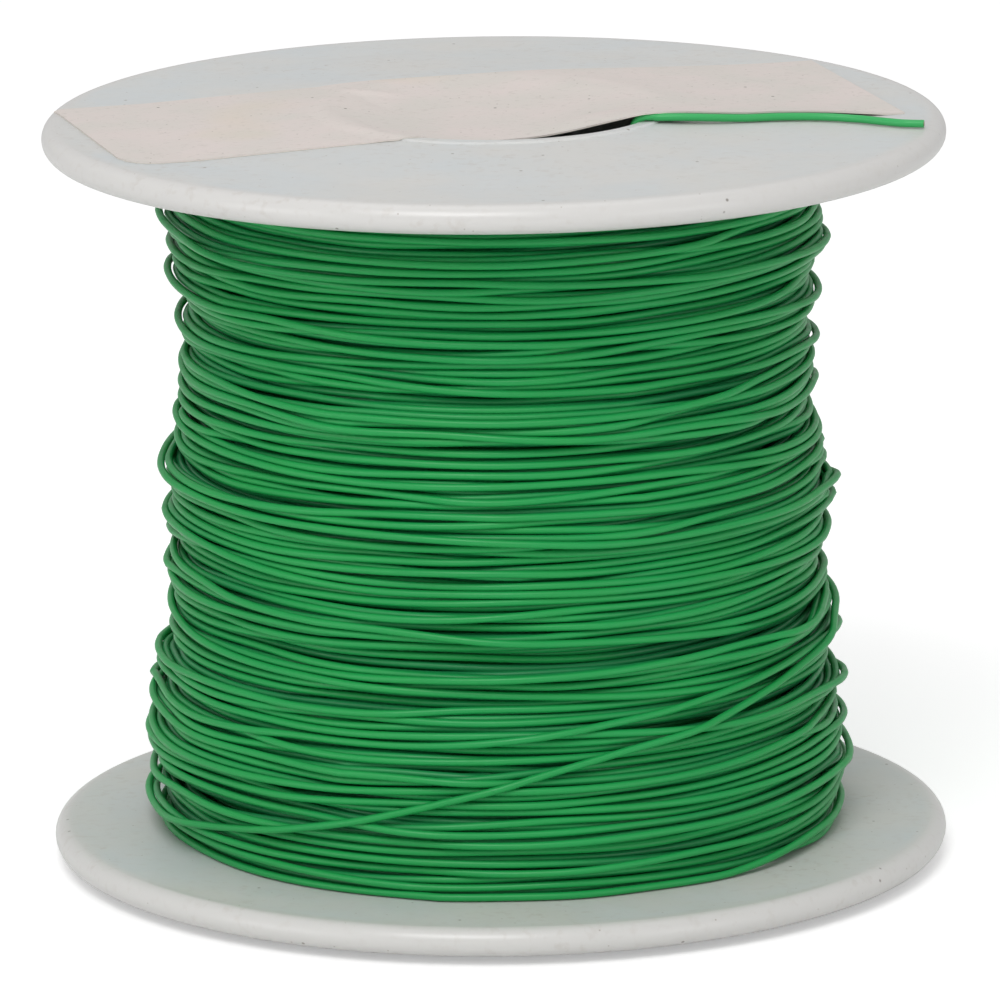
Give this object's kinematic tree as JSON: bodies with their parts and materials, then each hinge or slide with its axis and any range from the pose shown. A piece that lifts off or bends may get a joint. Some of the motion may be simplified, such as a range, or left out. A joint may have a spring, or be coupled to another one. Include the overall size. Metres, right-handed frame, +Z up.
{
  "type": "wire spool",
  "caption": "Small two-flange plastic spool wound with fine insulated wire-wrap wire; its free start end lies on the upper flange beside a paper label over the hub.",
  "frame": {"origin": "on the spool's axis, in the plane it rests on (the end of the lower collar's lip)", "axes": "+Z up along the spool's axis, through both bores; +X to the side that the free wire end points to; +Y away from the front"},
  "size_m": [0.07, 0.07, 0.0599],
  "materials": {
    "flange_plastic": "natural translucent white, satin face and smoother rounded rim",
    "core_plastic": "natural white extruded tube, satin",
    "wire_insulation": "smooth extruded green insulation with a satin sheen",
    "wire_conductor": "silver-plated copper, dull where it is cut",
    "label_adhesive": "thin pressure-sensitive film, slightly yellow",
    "label_paper": "uncoated warm white paper with fine flecks"
  },
  "bodies": {
    "spool": {"upper_flange": "flange_plastic", "lower_flange": "flange_plastic", "core_tube": "core_plastic", "wire_winding": "wire_insulation", "lead_insulation": "wire_insulation", "lead_conductor": "wire_conductor", "label_adhesive": "label_adhesive", "label_paper": "label_paper"},
    "tail_root": {"tail_root_insulation": "wire_insulation", "tail_root_conductor": "wire_conductor"},
    "tail_middle": {"tail_middle_insulation": "wire_insulation", "tail_middle_conductor": "wire_conductor"},
    "tail_end": {"tail_end_insulation": "wire_insulation", "tail_end_conductor": "wire_conductor"}
  },
  "joints": [
    {"name": "tail_swing", "type": "hinge", "parent": "spool", "child": "tail_root", "pos_m": [0.01218, -0.00615, 0.05951], "axis": [0, 0, 1], "range_deg": [-75, 0]},
    {"name": "tail_lift", "type": "hinge", "parent": "tail_root", "child": "tail_middle", "pos_m": [0.0146, -0.0062, 0.05951], "axis": [0.2127, -0.9771, 0], "range_deg": [0, 75]},
    {"name": "tail_curl", "type": "hinge", "parent": "tail_middle", "child": "tail_end", "pos_m": [0.02541, -0.00384, 0.05887], "axis": [-0.3408, -0.9401, 0], "range_deg": [0, 60]}
  ]
}
